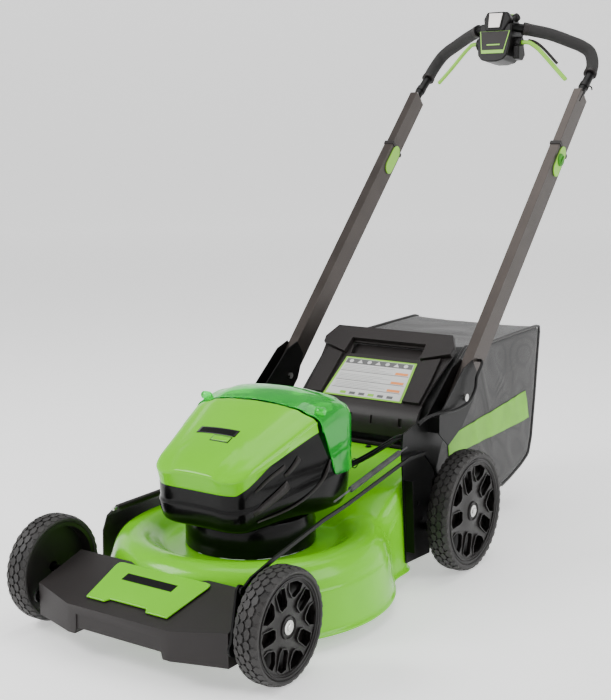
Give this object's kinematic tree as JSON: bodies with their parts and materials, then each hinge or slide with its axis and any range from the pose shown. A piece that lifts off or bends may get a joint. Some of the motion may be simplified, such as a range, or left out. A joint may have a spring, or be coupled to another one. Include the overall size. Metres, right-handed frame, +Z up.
{
  "type": "walk-behind lawn mower",
  "caption": "Walk-behind rotary lawn mower with a round green deck, rear grass bag, battery motor under a domed cover and a folding telescopic handle.",
  "frame": {"origin": "middle of the mower's length and width, on the ground", "axes": "+Z up, the front of the mower towards -Y, the operator's left at +X"},
  "size_m": [0.577, 1.5474, 1.2],
  "materials": {
    "lime_paint": "gloss",
    "black_paint": "gloss",
    "charcoal_plastic": "satin",
    "lime_plastic": "gloss",
    "gloss_black_plastic": "gloss",
    "clear_green_plastic": "gloss",
    "tyre_rubber": "matte",
    "rim_plastic": "satin",
    "zinc_steel": "satin",
    "dark_steel": "satin",
    "bronze_tube": "satin",
    "grip_foam": "matte",
    "knob_green": "satin",
    "bag_fabric": "matte",
    "copper_winding": "satin",
    "cable_jacket": "satin"
  },
  "bodies": {
    "chassis": {"deck_shell": "lime_paint", "front_fascia": "charcoal_plastic", "fascia_badge": "lime_plastic", "motor_base": "gloss_black_plastic", "motor_housing": "gloss_black_plastic", "motor_cover": "lime_plastic", "battery_pack": "gloss_black_plastic", "motor_stator": "copper_winding", "rear_skirt": "tyre_rubber", "handle_bracket_left": "black_paint", "handle_bracket_right": "black_paint", "pivot_bolt_left": "zinc_steel", "pivot_bolt_right": "zinc_steel", "door_hinge_rod": "zinc_steel", "discharge_hinge_rod": "zinc_steel", "motor_leads": "cable_jacket", "control_cable": "cable_jacket", "lift_spring": "dark_steel"},
    "front_axle_body": {"front_axle": "black_paint", "front_left_hub_bolt": "zinc_steel", "front_right_hub_bolt": "zinc_steel"},
    "rear_axle_body": {"rear_axle_carrier": "black_paint", "rear_axle_shaft": "zinc_steel", "drive_gearbox": "gloss_black_plastic", "height_lever": "black_paint", "rear_left_hub_bolt": "zinc_steel", "rear_right_hub_bolt": "zinc_steel"},
    "link_body": {"height_link": "black_paint"},
    "blade_body": {"motor_rotor": "dark_steel", "blade_adapter": "dark_steel", "blade": "dark_steel", "blade_bolt": "zinc_steel"},
    "lid_body": {"battery_lid": "clear_green_plastic"},
    "release_body": {"battery_release": "knob_green"},
    "discharge_body": {"side_discharge_door": "charcoal_plastic"},
    "door_body": {"rear_door": "charcoal_plastic"},
    "bag_body": {"grass_bag": "bag_fabric", "bag_frame": "charcoal_plastic"},
    "lower_handle": {"lower_tube_left": "bronze_tube", "lower_tube_right": "bronze_tube"},
    "upper_handle": {"upper_tube_left": "bronze_tube", "upper_tube_right": "bronze_tube", "upper_bar": "black_paint", "foam_grip_left": "grip_foam", "foam_grip_right": "grip_foam", "control_box": "gloss_black_plastic", "control_panel": "charcoal_plastic"},
    "lock_left_body": {"lock_knob_left": "knob_green"},
    "lock_right_body": {"lock_knob_right": "knob_green"},
    "bail_body": {"blade_bail": "knob_green"},
    "drive_body": {"drive_lever": "charcoal_plastic"},
    "start_body": {"start_button": "knob_green"},
    "front_left_wheel": {"front_left_tyre": "tyre_rubber", "front_left_rim": "rim_plastic"},
    "front_right_wheel": {"front_right_tyre": "tyre_rubber", "front_right_rim": "rim_plastic"},
    "rear_left_wheel": {"rear_left_tyre": "tyre_rubber", "rear_left_rim": "rim_plastic"},
    "rear_right_wheel": {"rear_right_tyre": "tyre_rubber", "rear_right_rim": "rim_plastic"}
  },
  "joints": [
    {"name": "cutting_height", "type": "hinge", "parent": "chassis", "child": "rear_axle_body", "pos_m": [0, -0.0662, 0.102], "axis": [-1, 0, 0], "range_deg": [0, 36.87], "deforming": ["lift_spring"]},
    {"name": "front_height", "type": "hinge", "parent": "chassis", "child": "front_axle_body", "pos_m": [0, -0.7367, 0.0765], "axis": [-1, 0, 0], "range_deg": [0, 36.87]},
    {"name": "link_pivot", "type": "hinge", "parent": "rear_axle_body", "child": "link_body", "pos_m": [0.2292, -0.0462, 0.197], "axis": [-1, 0, 0], "range_deg": [-36.87, 0]},
    {"name": "front_left_roll", "type": "hinge", "parent": "front_axle_body", "child": "front_left_wheel", "pos_m": [0.2645, -0.6617, 0.1015], "axis": [1, 0, 0], "continuous": true},
    {"name": "front_right_roll", "type": "hinge", "parent": "front_axle_body", "child": "front_right_wheel", "pos_m": [-0.2645, -0.6617, 0.1015], "axis": [1, 0, 0], "continuous": true},
    {"name": "rear_left_roll", "type": "hinge", "parent": "rear_axle_body", "child": "rear_left_wheel", "pos_m": [0.2645, 0.0088, 0.127], "axis": [1, 0, 0], "continuous": true},
    {"name": "rear_right_roll", "type": "hinge", "parent": "rear_axle_body", "child": "rear_right_wheel", "pos_m": [-0.2645, 0.0088, 0.127], "axis": [1, 0, 0], "continuous": true},
    {"name": "blade_spin", "type": "hinge", "parent": "chassis", "child": "blade_body", "pos_m": [0, -0.3867, 0.0575], "axis": [0, 0, 1], "continuous": true},
    {"name": "battery_lid", "type": "hinge", "parent": "chassis", "child": "lid_body", "pos_m": [0, -0.3597, 0.402], "axis": [1, 0, 0], "range_deg": [0, 80]},
    {"name": "battery_release", "type": "slide", "parent": "chassis", "child": "release_body", "axis": [0, 0, -1], "range_m": [0, 0.003], "stiffness_N_per_m": 400, "springref_m": -0.002},
    {"name": "side_discharge", "type": "hinge", "parent": "chassis", "child": "discharge_body", "pos_m": [-0.243, -0.4017, 0.18], "axis": [0, 1, 0], "range_deg": [0, 70], "stiffness_Nm_per_rad": 0.5, "springref_deg": -20.05},
    {"name": "rear_door", "type": "hinge", "parent": "chassis", "child": "door_body", "pos_m": [0, 0.0183, 0.268], "axis": [1, 0, 0], "range_deg": [0, 50]},
    {"name": "bag_lift", "type": "slide", "parent": "chassis", "child": "bag_body", "axis": [0, 0.7721, 0.6355], "range_m": [0, 0.3]},
    {"name": "handle_fold", "type": "hinge", "parent": "chassis", "child": "lower_handle", "pos_m": [0, 0.0513, 0.357], "axis": [1, 0, 0], "range_deg": [0, 115], "deforming": ["control_cable"]},
    {"name": "handle_telescope", "type": "slide", "parent": "lower_handle", "child": "upper_handle", "axis": [0, 0.6959, 0.7181], "range_m": [-0.17, 0]},
    {"name": "lock_left", "type": "hinge", "parent": "lower_handle", "child": "lock_left_body", "pos_m": [0.2377, 0.51756, 0.83815], "axis": [1, 0, 0], "range_deg": [0, 90]},
    {"name": "lock_right", "type": "hinge", "parent": "lower_handle", "child": "lock_right_body", "pos_m": [-0.2377, 0.51756, 0.83815], "axis": [1, 0, 0], "range_deg": [0, 90]},
    {"name": "blade_bail", "type": "hinge", "parent": "upper_handle", "child": "bail_body", "pos_m": [0, 0.6833, 1.12], "axis": [1, 0, 0], "range_deg": [0, 40], "stiffness_Nm_per_rad": 0.8, "springref_deg": -20.05},
    {"name": "drive_lever", "type": "hinge", "parent": "bail_body", "child": "drive_body", "pos_m": [0, 0.6833, 1.12], "axis": [1, 0, 0], "range_deg": [0, 10], "stiffness_Nm_per_rad": 0.5, "springref_deg": -11.46},
    {"name": "start_button", "type": "slide", "parent": "upper_handle", "child": "start_body", "axis": [0, 0, -1], "range_m": [0, 0.002], "stiffness_N_per_m": 500, "springref_m": -0.002}
  ],
  "couplings": [
    {"joint": "front_height", "follows": "cutting_height", "ratio": 1},
    {"joint": "link_pivot", "follows": "cutting_height", "ratio": -1}
  ]
}
